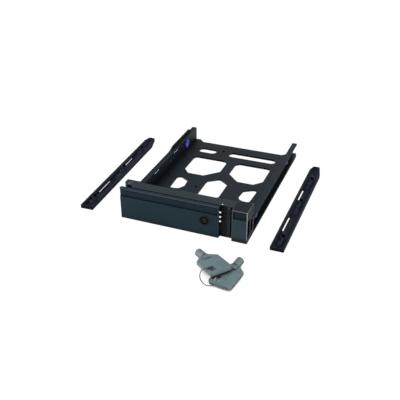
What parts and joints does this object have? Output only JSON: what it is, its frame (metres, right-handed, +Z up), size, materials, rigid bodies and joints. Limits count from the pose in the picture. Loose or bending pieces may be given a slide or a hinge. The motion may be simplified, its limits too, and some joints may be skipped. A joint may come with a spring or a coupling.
{
  "type": "drive tray",
  "caption": "Plastic disk tray with pierced plate, side rails, hinged locking handle, side fastening strips and two tubular keys on a ring.",
  "frame": {"origin": "underside of the tray plate, on its centreline, in the plane where the bezel's back meets the tray's side walls", "axes": "+X to the right of the front, +Y from the front to the rear of the tray, +Z up"},
  "size_m": [0.1873, 0.2308, 0.03],
  "materials": {
    "tray_plastic": "fine grained moulding",
    "bezel_plastic": "satin",
    "blue_rubber": "satin",
    "clear_plastic": "clear, glossy",
    "steel": "drawn wire and turned rod",
    "screw_steel": "black zinc",
    "lock_metal": "black, satin",
    "key_plastic": "satin",
    "key_metal": "satin grey",
    "ring_wire": "dull nickel"
  },
  "bodies": {
    "tray": {"tray_frame": "tray_plastic", "front_bezel": "bezel_plastic", "hinge_pin": "steel", "handle_spring": "steel", "light_guide": "clear_plastic", "latch_spring": "steel", "grommet_front_left": "blue_rubber", "grommet_front_right": "blue_rubber", "grommet_rear_left": "blue_rubber", "grommet_rear_right": "blue_rubber", "bezel_screws": "screw_steel", "fastening_panel_left": "tray_plastic", "fastening_panel_right": "tray_plastic", "fastening_studs_left": "steel", "fastening_studs_right": "steel", "key_one_bow": "key_plastic", "key_one_barrel": "key_metal", "key_two_bow": "key_plastic", "key_two_barrel": "key_metal", "key_ring": "ring_wire"},
    "handle": {"handle_lever": "bezel_plastic", "lock_housing": "lock_metal", "lock_nut": "lock_metal"},
    "lock": {"lock_core": "lock_metal", "lock_cam": "steel", "cam_screw": "screw_steel"},
    "latch": {"release_latch": "bezel_plastic"}
  },
  "joints": [
    {"name": "handle_hinge", "type": "hinge", "parent": "tray", "child": "handle", "pos_m": [-0.0515, -0.0065, 0.015], "axis": [0, 0, -1], "range_deg": [0, 45], "stiffness_Nm_per_rad": 0.02, "springref_deg": 57.3},
    {"name": "lock_turn", "type": "hinge", "parent": "handle", "child": "lock", "pos_m": [0.0199, -0.014, 0.0151], "axis": [0, 1, 0], "range_deg": [0, 90]},
    {"name": "release_slide", "type": "slide", "parent": "tray", "child": "latch", "axis": [1, 0, 0], "range_m": [0, 0.0015], "stiffness_N_per_m": 400, "deforming": ["latch_spring"]}
  ]
}
